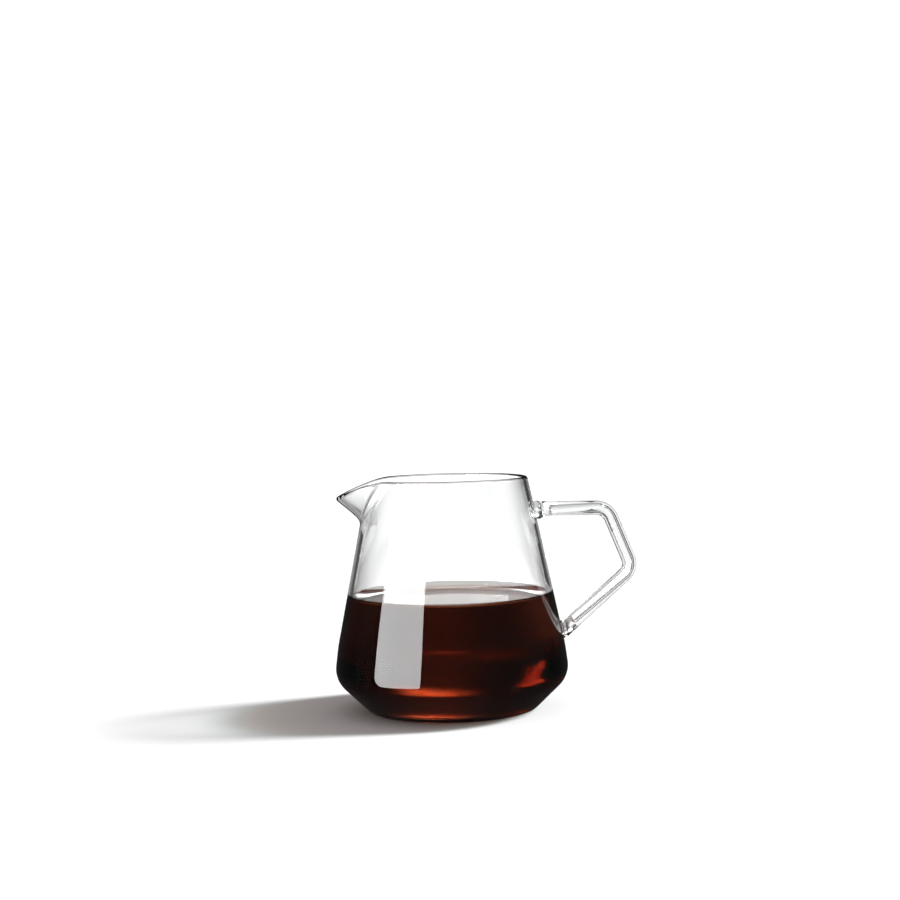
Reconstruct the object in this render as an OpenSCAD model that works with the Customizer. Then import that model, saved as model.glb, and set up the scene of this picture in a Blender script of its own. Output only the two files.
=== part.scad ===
// Glass coffee server: a blown borosilicate body with a pulled pouring lip, a bent hollow glass handle
// fused on at two glass pads, and the coffee that stands in it.
// Millimetres. The origin is the centre of the foot on the table, +Z is up, the handle is towards +X
// and the pouring lip towards -X.

/* [Body] */
// Height from the table to the top of the rim
body_h = 90; // [75:1:120]
// Outer diameter at the rim, beside the lip
rim_d = 61.6; // [56:0.2:68]
// Diameter where the leaning wall would meet the belt below it, if nothing were rounded
belt_d = 88.2; // [84:0.2:90]
// Height of that meeting above the table
belt_h = 25; // [22:0.5:32]
// Diameter of the widest ridge, if its edge were sharp
ridge_d = 91.4; // [88:0.1:96]
// Height of that ridge above the table
ridge_h = 12.8; // [11:0.2:18]
// Diameter of the foot, if its edge were sharp
foot_d = 65; // [50:0.5:70]
// How far to each side of that meeting the soft bend of the belt reaches
belt_reach = 2.5; // [1:0.1:3]
// How far to each side of the ridge its rounding reaches
ridge_reach = 5; // [3:0.1:6]
// How far to each side of the foot's edge its rounding reaches
foot_reach = 1.4; // [0.6:0.1:1.6]

/* [Glass] */
// Thickness of the wall
wall_t = 1.8; // [1.2:0.1:2.4]
// Thickness of the floor
floor_t = 2.6; // [1.8:0.1:4]
// Radius inside the corner between the floor and the taper
floor_round = 3.5; // [2:0.1:6]

/* [Pouring lip] */
// How far the tip of the lip stands out past the rim's circle
lip_reach = 10.5; // [6:0.1:14]
// How far the tip of the lip hangs below the rim
lip_drop = 7.3; // [3:0.1:10]
// Height of the flared part under the tip
lip_flare = 10.3; // [8:0.1:14]
// Half of the angle over which the rim is pulled out, in degrees
lip_half_angle = 38; // [25:1:50]

/* [Handle] */
// Outer diameter of the glass tube
tube_d = 5.6; // [4.6:0.1:7]
// Bore of the glass tube
tube_bore = 2.9; // [2:0.1:3.4]
// How far below the rim the upper arm meets the wall
upper_joint_drop = 13.8; // [10:0.2:20]
// How far above the belt the lower arm meets the wall
lower_joint_rise = 4.6; // [4:0.2:10]
// How far the upper elbow's corner stands out from the wall beside it
upper_elbow_out = 28; // [22:0.5:36]
// How far that corner is below the rim
upper_elbow_drop = 13.2; // [8:0.2:18]
// How far the lower elbow's corner stands out from the wall beside it
lower_elbow_out = 32.6; // [24:0.5:40]
// How far that corner is above the belt
lower_elbow_rise = 28; // [20:0.5:34]
// Centreline radius of the upper elbow
upper_bend = 6.6; // [4:0.2:9]
// Centreline radius of the lower elbow
lower_bend = 6; // [4:0.2:9]
// Length of solid glass where each end of the tube is melted shut
end_plug = 3.2; // [2:0.1:6]
// Diameter of the pinhole that let the air out of the tube while its ends were fused
vent_d = 0.8; // [0.5:0.1:1.2]

/* [Fused pads] */
// Diameter of the upper pad on the wall
upper_pad_d = 7.2; // [6:0.1:9]
// How far the upper pad stands off the wall, with its neck
upper_pad_t = 3.4; // [2.4:0.1:4]
// Diameter of the lower pad on the wall
lower_pad_d = 7.2; // [6:0.1:9]
// How far the lower pad stands off the wall, with its neck
lower_pad_t = 1.6; // [1.4:0.1:3]

/* [Coffee] */
// Height of the coffee's surface above the table
fill_h = 42.4; // [20:0.2:60]
// How far the coffee climbs up the glass at its edge
meniscus = 2.85; // [1:0.05:3.4]
// Length that sets how wide the climbing edge is: 2.7 for water, less for anything soapy
climb_width = 2.7; // [2:0.1:3]

/* [Hidden] */
$fn = 96;

// Colours, as red, green, blue and see-through shares
glass_shares = [0.86, 0.9, 0.9, 0.35];
pad_shares = [0.8, 0.85, 0.86, 0.5];
coffee_shares = [0.2, 0.03, 0.02, 1];

// Gap between the coffee's solid and the glass
film = 0.1;
// Height at which the plain turned wall ends and the neck with the lip begins
neck_h = body_h - lip_drop - 1.5 * lip_flare;

// The points of the outer profile, with sharp corners
foot_corner = [foot_d / 2, 0];
ridge_corner = [ridge_d / 2, ridge_h];
belt_corner = [belt_d / 2, belt_h];
rim_corner = [rim_d / 2, body_h];

// Angle of the wall from upright
wall_lean = atan((belt_corner.x - rim_corner.x) / (body_h - belt_h));

// Wall thickness measured level, across the leaning wall
level_t = wall_t / cos(wall_lean);

// Segments in a rounded corner, and grid counts of the neck
corner_steps = 10;
lip_columns = 26;
back_columns = 60;
neck_rows = 13;
cap_steps = 5;

function unit(v) = v / norm(v);

function reversed(list) = [for (i = [len(list) - 1 : -1 : 0]) list[i]];

// Outer radius of the straight wall at height z
function wall_r(z) = belt_corner.x - (z - belt_h) * tan(wall_lean);

// Half of the angle at corner b between the lines to a and c
function half_angle(a, b, c) = acos(unit(a - b) * unit(c - b)) / 2;

// Centre of the arc of radius r that rounds corner b
function bend_centre(a, b, c, r) =
    b + unit(unit(a - b) + unit(c - b)) * r / sin(half_angle(a, b, c));

// Radius of the arc that rounds corner b from the distance reach before it to as far after it
function reach_round(a, b, c, reach) = reach * tan(half_angle(a, b, c));

// The point on the line from b towards a where that arc begins
function bend_start(a, b, c, r) = b + unit(a - b) * r / tan(half_angle(a, b, c));

function bearing(from, to) = atan2(to.y - from.y, to.x - from.x);

// Signed turn of the arc, between -180 and 180 degrees
function bend_turn(a, b, c, r) =
    let (m = bend_centre(a, b, c, r))
    let (turn = bearing(m, bend_start(c, b, a, r)) - bearing(m, bend_start(a, b, c, r)))
    turn > 180 ? turn - 360 : turn < -180 ? turn + 360 : turn;

// The points of the arc that rounds corner b
function rounded(a, b, c, r) =
    let (m = bend_centre(a, b, c, r))
    let (from = bearing(m, bend_start(a, b, c, r)))
    let (turn = bend_turn(a, b, c, r))
    [for (i = [0 : corner_steps])
        let (t = from + turn * i / corner_steps) m + r * [cos(t), sin(t)]];

// Where two lines cross, each given by a point and a direction
function crossing(p, u, q, v) = p + u * cross(q - p, v) / cross(u, v);

// The points of the inner profile: each line of the outer one moved in by the glass
wall_u = unit(rim_corner - belt_corner);
belt_u = unit(belt_corner - ridge_corner);
taper_u = unit(ridge_corner - foot_corner);
function inward(u) = [-u.y, u.x];
function inner_line(p, u, t) = p + inward(u) * t;
function inner_belt(t) =
    crossing(inner_line(belt_corner, wall_u, t), wall_u, inner_line(belt_corner, belt_u, t), belt_u);
function inner_ridge(t) =
    crossing(inner_line(ridge_corner, belt_u, t), belt_u, inner_line(ridge_corner, taper_u, t), taper_u);
function inner_foot(t, z) =
    crossing(inner_line(foot_corner, taper_u, t), taper_u, [0, z], [1, 0]);
function inner_wall_r(z, t) = wall_r(z) - t / cos(wall_lean);

// Radii of the outer corners; an inner corner that bends the same way is tighter by the glass
foot_round = reach_round([0, 0], foot_corner, ridge_corner, foot_reach);
ridge_round = reach_round(foot_corner, ridge_corner, belt_corner, ridge_reach);
belt_round = reach_round(ridge_corner, belt_corner, rim_corner, belt_reach);
function inner_round(a, b, c, r, t) = r - t * sign(cross(b - a, c - b));

// Inner profile from the axis up to height top, moved in from the outer one by t and up by z
function inner_profile(t, z, top) = concat(
    [[0, z]],
    rounded([0, z], inner_foot(t, z), inner_ridge(t), floor_round),
    rounded(inner_foot(t, z), inner_ridge(t), inner_belt(t),
        inner_round(foot_corner, ridge_corner, belt_corner, ridge_round, t)),
    rounded(inner_ridge(t), inner_belt(t), [inner_wall_r(top, t), top],
        inner_round(ridge_corner, belt_corner, rim_corner, belt_round, t)),
    [[inner_wall_r(top, t), top]]
);

function outer_profile(top) = concat(
    [[0, 0]],
    rounded([0, 0], foot_corner, ridge_corner, foot_round),
    rounded(foot_corner, ridge_corner, belt_corner, ridge_round),
    rounded(ridge_corner, belt_corner, [wall_r(top), top], belt_round),
    [[wall_r(top), top]]
);

// Share of the lip's full pull at angle a from the middle of the lip: a blunt peak on broad shoulders
peak_share = 0.7;
function pull_share(a) =
    let (u = abs(a) / lip_half_angle)
    u >= 1 ? 0 : peak_share * pow(cos(90 * u), 2) + (1 - peak_share) * pow(1 - u, 2);

// The flare starts softly: share of the full reach at share s of the way up from its start
softness_share = 0.5;
function flare_share(s) =
    s <= 0 ? 0 :
    (sqrt(s * s + softness_share * softness_share) - softness_share)
    / (sqrt(1 + softness_share * softness_share) - softness_share);

// Height of the sheet's end and of the start of its flare, at angle a from the middle of the lip
function edge_h(a) = body_h - wall_t / 2 - lip_drop * pull_share(a);
flare_power_share = 0.66;
function flare_h(a) = body_h - wall_t / 2 - (lip_drop + lip_flare) * pow(pull_share(a), flare_power_share);

function neck_r(a, z) =
    pull_share(a) <= 0 ? wall_r(z) :
    wall_r(z) + lip_reach * pull_share(a) * flare_share((z - flare_h(a)) / (edge_h(a) - flare_h(a)));

// The neck's facets keep inside the faces of the turned wall below by this much, so that no edge
// of one lies on an edge of the other; a flat facet of the inner face stands out by its sag as well
seam = 0.02;
back_step = (360 - 2 * lip_half_angle) / back_columns;
facet_sag = wall_r(neck_h) * (1 - cos(back_step / 2));

// The neck's foot is buried in the turned wall's top, so that the two are one glass
neck_from = neck_h - wall_t / 2;

// Angles of the columns of the neck's grid, closer together round the lip
columns = concat(
    [for (i = [0 : lip_columns - 1]) lip_half_angle * (2 * i / lip_columns - 1)],
    [for (i = [0 : back_columns - 1])
        lip_half_angle + back_step * i]
);

// Rises of the rows of the grid as shares of the neck's height
function row_h(a, k) = neck_from + (edge_h(a) - neck_from) * k / neck_rows;

// Angle from the middle of the lip, between -180 and 180 degrees
function from_lip(a) = a > 180 ? a - 360 : a;

// Direction of the sheet at its end, and the fire-polished round that closes it
function edge_u(a) =
    unit([neck_r(a, edge_h(a)) - neck_r(a, row_h(a, neck_rows - 1)), edge_h(a) - row_h(a, neck_rows - 1)]);
function cap_point(a, i) =
    let (t = 180 * i / cap_steps)
    [neck_r(a, edge_h(a)) - level_t / 2 * (1 - cos(t)), edge_h(a)]
    + edge_u(a) * (edge_u(a).y * level_t / 2) * sin(t);

// One closed slice of the neck: up the outside, over the rim and down the inside
function slice(a) = concat(
    [for (k = [0 : neck_rows]) [neck_r(a, row_h(a, k)) - seam, row_h(a, k)]],
    [for (i = [1 : cap_steps - 1]) cap_point(a, i)],
    [for (k = [neck_rows : -1 : 0]) [neck_r(a, row_h(a, k)) - level_t + facet_sag + seam, row_h(a, k)]]
);

function swing(p, a) = [-p.x * cos(a), -p.x * sin(a), p.y];

module neck() {
    slices = [for (a = columns) [for (p = slice(from_lip(a))) swing(p, a)]];
    n = len(slices);
    m = len(slices[0]);
    function at(j, i) = (j % n) * m + i % m;
    polyhedron(
        points = [for (s = slices) each s],
        faces = [for (j = [0 : n - 1], i = [0 : m - 1], half = [0, 1])
            half == 0
            ? [at(j, i), at(j + 1, i + 1), at(j + 1, i)]
            : [at(j, i), at(j, i + 1), at(j + 1, i + 1)]]
    );
}

module vessel() {
    color(glass_shares) {
        rotate_extrude()
            polygon(concat(
                outer_profile(neck_h),
                reversed(inner_profile(wall_t, floor_t, neck_h))
            ));
        neck();
    }
}

// The handle's centreline, in the upright plane through the lip and the handle
function off_wall(z, out) = [wall_r(z) + out, z];
upper_start = off_wall(body_h - upper_joint_drop, 0);
upper_elbow = off_wall(body_h - upper_elbow_drop, upper_elbow_out);
lower_elbow = off_wall(belt_h + lower_elbow_rise, lower_elbow_out);
lower_start = off_wall(belt_h + lower_joint_rise, 0);
upper_u = unit(upper_elbow - upper_start);
grip_u = unit(lower_elbow - upper_elbow);
lower_u = unit(lower_elbow - lower_start);

// A hot bend comes out a touch fuller than the straight tube, which runs into it by this lap
bend_swell = 0.04;
bend_lap = tube_d / 20;

module along(p, q) {
    translate([p.x, 0, p.y])
        rotate([0, 90 - bearing(p, q), 0])
            children();
}

module arm(p, q, d) {
    along(p, q) cylinder(h = norm(q - p), d = d);
}

module elbow(a, b, c, bend, d) {
    m = bend_centre(a, b, c, bend);
    turn = bend_turn(a, b, c, bend);
    begin = bearing(m, turn > 0 ? bend_start(a, b, c, bend) : bend_start(c, b, a, bend));
    translate([m.x, 0, m.y])
        rotate([90, 0, 0])
            rotate([0, 0, begin])
                rotate_extrude(angle = abs(turn))
                    translate([bend, 0])
                        circle(d = d);
}

// Tube of diameter d along the whole centreline, from point p on the upper arm to q on the lower one
module tube(p, q, d) {
    bend_d = d + bend_swell;
    arm(p, bend_start(upper_start, upper_elbow, lower_elbow, upper_bend) + upper_u * bend_lap, d);
    elbow(upper_start, upper_elbow, lower_elbow, upper_bend, bend_d);
    arm(
        bend_start(lower_elbow, upper_elbow, upper_start, upper_bend) - grip_u * bend_lap,
        bend_start(upper_elbow, lower_elbow, lower_start, lower_bend) + grip_u * bend_lap, d);
    elbow(upper_elbow, lower_elbow, lower_start, lower_bend, bend_d);
    arm(q, bend_start(lower_start, lower_elbow, upper_elbow, lower_bend) + lower_u * bend_lap, d);
}

// Everything on the body's side of a plane parallel to the wall, at distance t off the joint at p
module wall_side(p, t) {
    translate([p.x, 0, p.y])
        rotate([0, 90 - wall_lean, 0])
            translate([0, 0, t - 2 * tube_d])
                cylinder(h = 2 * tube_d, d = 4 * tube_d);
}

bore_from = upper_start + upper_u * (upper_pad_t + end_plug);
bore_to = lower_start + lower_u * (lower_pad_t + end_plug + tube_bore / 2);
vent_turn = 15;

// Each end of the bore is drawn round by the flame
module bore_end(p) {
    translate([p.x, 0, p.y]) sphere(d = tube_bore + bend_swell);
}

module handle() {
    color(glass_shares)
        difference() {
            tube(upper_start, lower_start, tube_d);
            tube(bore_from, bore_to, tube_bore);
            bore_end(bore_from);
            bore_end(bore_to);
            wall_side(upper_start, upper_pad_t);
            wall_side(lower_start, lower_pad_t);
            // The pinhole, on the near side of the upper arm and a little below its middle
            along(bore_from + upper_u * tube_bore / 2, upper_elbow)
                rotate([0, 0, vent_turn])
                    rotate([90, 0, 0])
                        cylinder(h = tube_d, d = vent_d);
        }
}

// Glass pad of diameter d standing t off the wall: a pressed bead with a groove before the tube's end
module pad(p, d, t) {
    bead = min(t - wall_t / 2, tube_bore);
    difference() {
        translate([p.x, 0, p.y])
            rotate([0, 90 - wall_lean, 0])
                rotate_extrude()
                    polygon([
                        [0, -wall_t / 2],
                        [d / 2 - wall_t / 4, -wall_t / 2],
                        [d / 2, 0],
                        [d / 2, bead / 2],
                        [d / 2 - wall_t / 4, bead],
                        [tube_d / 2 - wall_t / 4, bead],
                        [tube_d / 2, t],
                        [0, t]
                    ]);
        wall_cone(p.y, d);
    }
}

// The body's outer wall as a solid, over the height that a pad of diameter d covers
module wall_cone(z, d) {
    translate([0, 0, z - d])
        cylinder(h = 2 * d, r1 = wall_r(z - d), r2 = wall_r(z + d), $fn = 360);
}

module upper_pad() {
    color(pad_shares) pad(upper_start, upper_pad_d, upper_pad_t);
}

module lower_pad() {
    color(pad_shares) pad(lower_start, lower_pad_d, lower_pad_t);
}

// The coffee's climbing edge at slope t, from the steepest slope at the glass to nearly level:
// how far it has come in from the glass, and how high it stands above the level surface
climb_slope = 2 * asin(meniscus / (2 * climb_width));
function climb_in(t) = climb_width * (ln(1 / tan(t / 4)) - 2 * cos(t / 2));
function climb_point(t, r) =
    [r - climb_in(t) + climb_in(climb_slope), fill_h + 2 * climb_width * sin(t / 2)];
climb_shares = [0.8, 0.62, 0.46, 0.32, 0.2, 0.12, 0.06];

module coffee() {
    glass_gap = wall_t + film;
    edge_r = inner_wall_r(fill_h + meniscus, glass_gap);
    color(coffee_shares)
        rotate_extrude()
            polygon(concat(
                inner_profile(glass_gap, floor_t + film, fill_h + meniscus),
                [for (share = climb_shares) climb_point(climb_slope * share, edge_r)],
                [[climb_point(1, edge_r).x, fill_h], [0, fill_h]]
            ));
}

vessel();
handle();
upper_pad();
lower_pad();
coffee();
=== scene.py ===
"""Looks of the glass coffee server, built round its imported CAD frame. Metres, +Z up, handle towards +X."""

import math

import bmesh
import bpy
from bpy.props import FloatProperty, FloatVectorProperty, PointerProperty
from mathutils import Matrix, Vector


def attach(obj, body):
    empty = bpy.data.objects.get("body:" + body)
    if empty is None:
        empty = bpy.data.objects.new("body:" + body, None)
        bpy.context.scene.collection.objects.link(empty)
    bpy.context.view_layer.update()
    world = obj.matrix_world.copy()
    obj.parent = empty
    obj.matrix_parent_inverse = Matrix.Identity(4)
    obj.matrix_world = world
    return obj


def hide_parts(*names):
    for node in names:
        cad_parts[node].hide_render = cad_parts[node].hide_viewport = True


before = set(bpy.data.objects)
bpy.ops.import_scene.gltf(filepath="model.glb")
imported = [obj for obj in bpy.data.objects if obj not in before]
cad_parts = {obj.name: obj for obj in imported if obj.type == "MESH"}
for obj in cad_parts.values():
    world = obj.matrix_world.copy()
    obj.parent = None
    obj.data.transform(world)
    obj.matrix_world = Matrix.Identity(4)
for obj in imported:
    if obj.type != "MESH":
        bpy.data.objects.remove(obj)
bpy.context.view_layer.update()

bl_info = {
    "name": "Glass Coffee Server",
    "version": (1, 0, 0),
    "blender": (4, 5, 0),
    "location": "3D View > Sidebar > Coffee Server",
    "description": "Builds a blown glass coffee server with its handle, its coffee and a white studio",
    "category": "Add Mesh",
}

MM = 0.001
GLASS_IOR = 1.47
COFFEE_IOR = 1.34
# How many steps go round each turned form and each tube
BODY_STEPS = 288
COFFEE_STEPS = 192
PAD_STEPS = 48
TUBE_STEPS = 48
BORE_STEPS = 32
# Stands a sheet upright, facing the camera
UPRIGHT = Matrix.Rotation(math.pi / 2, 4, "X")


def length(name, description, mm):
    """A length property whose default is given in millimetres."""
    return FloatProperty(name=name, description=description, default=mm * MM, unit="LENGTH", precision=5)


def number(name, description, value):
    """A plain number property."""
    return FloatProperty(name=name, description=description, default=value)


def colour(name, description, rgb):
    """A colour property without alpha."""
    return FloatVectorProperty(
        name=name, description=description, default=rgb, subtype="COLOR", size=3, min=0.0, max=1.0
    )


class ServerBodySizes(bpy.types.PropertyGroup):
    body_h: length("Height", "From the table to the top of the rim", 90)
    rim_r: length("Rim radius", "Outer radius at the rim, beside the lip", 30.8)
    belt_r: length("Belt radius", "Where the leaning wall would meet the belt, unrounded", 44.1)
    belt_h: length("Belt height", "Height of that meeting", 25)
    ridge_r: length("Ridge radius", "Radius of the widest ridge, if its edge were sharp", 45.7)
    ridge_h: length("Ridge height", "Height of the ridge", 12.8)
    foot_r: length("Foot radius", "Radius of the foot, if its edge were sharp", 32.5)
    belt_reach: length("Belt bend", "Reach of the soft bend to each side of the belt", 2.5)
    ridge_reach: length("Ridge rounding", "Reach of the rounding to each side of the ridge", 5)
    foot_reach: length("Foot rounding", "Reach of the rounding to each side of the foot's edge", 1.4)
    wall_t: length("Wall", "Thickness of the glass wall", 1.8)
    floor_t: length("Floor", "Thickness of the glass floor", 2.6)
    floor_round: length("Inner foot rounding", "Radius inside, between the floor and the taper", 3.5)
    lip_reach: length("Lip reach", "How far the tip of the lip stands out", 10.5)
    lip_drop: length("Lip drop", "How far the tip of the lip hangs below the rim", 7.3)
    lip_flare: length("Lip flare", "Height of the flared part under the tip", 10.3)
    lip_half_angle: FloatProperty(
        name="Lip half angle",
        description="Half of the angle over which the rim is pulled out",
        default=math.radians(50),
        subtype="ANGLE",
    )
    fill_h: length("Coffee height", "Height of the coffee's surface above the table", 42.4)
    meniscus: length("Meniscus", "How far the coffee climbs up the glass", 2.85)
    climb_width: length("Meniscus width", "Length that sets how wide the climbing edge is", 2.7)


class ServerHandleSizes(bpy.types.PropertyGroup):
    tube_r: length("Tube radius", "Outer radius of the glass tube", 2.8)
    bore_r: length("Bore radius", "Inner radius of the glass tube", 1.45)
    upper_joint_h: length("Upper joint", "Height where the upper arm meets the wall", 76.2)
    lower_joint_h: length("Lower joint", "Height where the lower arm meets the wall", 29.6)
    upper_elbow_x: length("Upper elbow out", "Distance of the upper corner from the axis", 61.5)
    upper_elbow_h: length("Upper elbow up", "Height of the upper corner", 76.8)
    lower_elbow_x: length("Lower elbow out", "Distance of the lower corner from the axis", 70.97)
    lower_elbow_h: length("Lower elbow up", "Height of the lower corner", 53)
    upper_bend: length("Upper bend", "Centreline radius of the upper elbow", 6.6)
    lower_bend: length("Lower bend", "Centreline radius of the lower elbow", 6)
    end_plug: length("End plug", "Solid glass where each end is melted shut", 3.2)
    upper_pad_r: length("Upper pad radius", "Radius of the upper fused pad", 3.6)
    upper_pad_t: length("Upper pad depth", "How far the upper pad stands off the wall", 3.4)
    lower_pad_r: length("Lower pad radius", "Radius of the lower fused pad", 3.6)
    lower_pad_t: length("Lower pad depth", "How far the lower pad stands off the wall", 1.6)


class ServerFinishes(bpy.types.PropertyGroup):
    glass: colour("Glass", "Tint of the clear glass", (0.985, 0.992, 0.99))
    fused: colour("Fused glass", "Tint of the fused pads", (0.93, 0.95, 0.95))
    coffee: colour("Coffee", "Colour that light keeps on its way through the coffee", (0.55, 0.25, 0.065))
    coffee_shade: colour("Coffee's shade", "What the coffee leaves of a lamp's light", (0.68, 0.75, 0.76))
    coffee_density: number("Coffee density", "How fast the other light is lost, per metre of coffee", 95.0)


class ServerStage(bpy.types.PropertyGroup):
    floor: colour("Floor", "Colour of the pale floor", (0.9, 0.9, 0.9))
    ambient: number("Ambient", "Even light from all round on the floor", 0.34)
    white: number("White", "Brightness of the background that the camera sees", 1.15)
    dim: number("Dim room", "Brightness of the dim room that the glass mirrors and bends", 0.06)
    bright: number("Bright room", "Brightness of the room behind the glass as seen from other sides", 1.05)
    key: number("Key lamp", "Strength of the lamp to the right and a little behind", 4.5)
    key_bearing: number("Key bearing", "Degrees behind the handle", 13.0)
    key_height: number("Key height", "Degrees above the table", 39.5)
    fill: number("Tall softbox", "Brightness of the softbox in front to the left", 11.0)
    lens: FloatProperty(name="Lens", description="Focal length of the camera", default=69.3, unit="CAMERA")


class BodyShape:
    """The lines of the blown body, worked out from its sizes."""

    # The pulled neck starts this many flare heights under the lip's tip
    NECK_REACH = 1.5
    # The rounded rim stands this share of the wall's thickness above the plain sheet
    RIM_SHARE = 0.6
    # The lip is a soft swell in plan, with a share that comes to a point
    POINT_SHARE = 0.25
    # Below 1, the flare reaches further down the flanks of the lip
    FLANK_POWER = 0.4
    # How gently the flare starts
    FLARE_START = 0.2

    def __init__(self, size):
        self.size = size
        self.lean = math.atan((size.belt_r - size.rim_r) / (size.body_h - size.belt_h))
        self.level_t = size.wall_t / math.cos(self.lean)
        self.neck_h = size.body_h - size.lip_drop - self.NECK_REACH * size.lip_flare
        self.plain_end_h = size.body_h - size.wall_t * self.RIM_SHARE

    def wall_r(self, z):
        """Outer radius of the straight wall at height z."""
        return self.size.belt_r - (z - self.size.belt_h) * math.tan(self.lean)

    def pull(self, angle):
        """Share of the lip's full pull at this angle from its middle."""
        u = abs(angle) / self.size.lip_half_angle
        if u >= 1:
            return 0.0
        swell = math.cos(math.pi / 2 * u) ** 4
        point = (1 - u) ** 3
        return (1 - self.POINT_SHARE) * swell + self.POINT_SHARE * point

    def edge_h(self, angle):
        """Height at which the pulled sheet ends."""
        return self.plain_end_h - self.size.lip_drop * self.pull(angle)

    def neck_r(self, angle, z):
        """Outer radius of the neck, flared towards the lip."""
        pull = self.pull(angle)
        if pull < 1e-4:
            return self.wall_r(z)
        flare_h = self.plain_end_h - (self.size.lip_drop + self.size.lip_flare) * pull**self.FLANK_POWER
        s = max(0.0, (z - flare_h) / (self.edge_h(angle) - flare_h))
        flare = (1 + self.FLARE_START) * s**3 / (s * s + self.FLARE_START)
        return self.wall_r(z) + self.size.lip_reach * pull * flare

    def pulled(self, co):
        """Where a point of the plain turned neck goes when the lip is pulled out of it."""
        angle = math.atan2(co.y, -co.x)
        z = min(co.z, self.plain_end_h)
        radius = math.hypot(co.x, co.y)
        edge = self.edge_h(angle)
        new_z = self.neck_h + (z - self.neck_h) * (edge - self.neck_h) / (self.plain_end_h - self.neck_h)
        rise = (co.z - z) / math.cos(self.lean)
        level = radius - self.wall_r(z) + math.sin(self.lean) * rise
        # The sheet keeps its thickness: its section turns with the flare
        step = 0.5 * MM
        flare = math.atan2(self.neck_r(angle, new_z) - self.neck_r(angle, new_z - step), step) + self.lean
        across = Vector((level - math.sin(self.lean) * rise, math.cos(self.lean) * rise))
        across = Matrix.Rotation(-flare, 2) @ across
        new_r = self.neck_r(angle, new_z) + across.x
        return Vector((-new_r * math.cos(angle), new_r * math.sin(angle), new_z + across.y))


class Pen:
    """Draws one chain of edges in the upright plane through the lip and the handle."""

    def __init__(self, bm, x, z):
        self.bm = bm
        self.tip = bm.verts.new((x, 0, z))

    def line(self, x, z, pieces=1):
        """A straight run to a point, in equal pieces."""
        start = self.tip.co.copy()
        for i in range(pieces):
            made = bmesh.ops.extrude_vert_indiv(self.bm, verts=[self.tip])
            self.tip = made["verts"][0]
            self.tip.co = start.lerp(Vector((x, 0, z)), (i + 1) / pieces)

    def arc(self, centre, turn, steps):
        """An arc about a centre; a positive turn goes from +X towards +Z."""
        made = bmesh.ops.spin(
            self.bm, geom=[self.tip], cent=centre, axis=(0, -1, 0), angle=turn, steps=steps,
            use_duplicate=False,
        )
        self.tip = next(g for g in made["geom_last"] if isinstance(g, bmesh.types.BMVert))

    def corner(self, corner, beyond, reach, steps, pieces=1):
        """A straight run towards a corner, which is rounded from reach before it to reach after it."""
        here = Vector((self.tip.co.x, self.tip.co.z))
        corner, beyond = Vector(corner), Vector(beyond)
        back, on = (here - corner).normalized(), (beyond - corner).normalized()
        half = back.angle(on) / 2
        self.line(*(corner + back * reach), pieces)
        centre = corner + (back + on).normalized() * reach / math.cos(half)
        side = 1 if back.x * on.y - back.y * on.x < 0 else -1
        self.arc((centre.x, 0, centre.y), side * (math.pi - 2 * half), steps)


def crossing(p, u, q, v):
    """Where the line through p along u meets the line through q along v."""
    share = ((q - p).x * v.y - (q - p).y * v.x) / (u.x * v.y - u.y * v.x)
    return p + u * share


class InnerLines:
    """The corners of the wall's inner face: the outer lines moved in by a thickness."""

    def __init__(self, shape, inset, floor):
        self.shape, self.inset = shape, inset
        size = shape.size
        foot, ridge = Vector((size.foot_r, 0)), Vector((size.ridge_r, size.ridge_h))
        belt, rim = Vector((size.belt_r, size.belt_h)), Vector((size.rim_r, size.body_h))
        runs = (ridge - foot, belt - ridge, rim - belt)
        taper, side, wall = (run.normalized() for run in runs)
        taper_in, side_in, wall_in = (Vector((-u.y, u.x)) * inset for u in (taper, side, wall))
        self.foot = crossing(foot + taper_in, taper, Vector((0, floor)), Vector((1, 0)))
        self.ridge = crossing(ridge + taper_in, taper, ridge + side_in, side)
        self.belt = crossing(belt + side_in, side, belt + wall_in, wall)
        # An inner rounding shares its centre with the outer one, so its reach is shorter by this much
        self.ridge_loss = inset * math.tan(taper.angle(side) / 2)
        self.belt_loss = inset * math.tan(side.angle(wall) / 2)
        self.floor_reach = size.floor_round * math.tan(taper.angle(Vector((1, 0))) / 2)

    def wall_at(self, z):
        """The point of the leaning wall's inner face at height z."""
        return Vector((self.shape.wall_r(z) - self.inset / math.cos(self.shape.lean), z))

    def draw(self, pen, top, pieces):
        """From the axis out along the floor and up the wall to height top."""
        size = self.shape.size
        pen.corner(self.foot, self.ridge, self.floor_reach, 8, 6)
        pen.corner(self.ridge, self.belt, size.ridge_reach - self.ridge_loss, 16, 4)
        pen.corner(self.belt, self.wall_at(top), size.belt_reach - self.belt_loss, 6, 3)
        pen.line(*self.wall_at(top), pieces)


def turn_full(bm, steps):
    """Spins everything drawn so far once round the vertical axis and closes it."""
    bmesh.ops.spin(
        bm, geom=bm.verts[:] + bm.edges[:], cent=(0, 0, 0), axis=(0, 0, 1), angle=2 * math.pi, steps=steps,
        use_merge=True, use_duplicate=False,
    )
    bmesh.ops.remove_doubles(bm, verts=bm.verts, dist=1e-7)


def make_piece(name, bm, materials, node):
    """Turns a bmesh into a piece that rides on the frame and stands for one CAD node."""
    mesh = bpy.data.meshes.new(name)
    bm.to_mesh(mesh)
    bm.free()
    for material in materials:
        mesh.materials.append(material)
    mesh.shade_smooth()
    piece = bpy.data.objects.new(name, mesh)
    bpy.context.scene.collection.objects.link(piece)
    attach(piece, "root")
    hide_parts(node)
    return piece


# Materials


def feed(tree, socket, value):
    """Gives an input another node's output, or a plain value."""
    if isinstance(value, bpy.types.NodeSocket):
        tree.links.new(value, socket)
    else:
        socket.default_value = value


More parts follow.
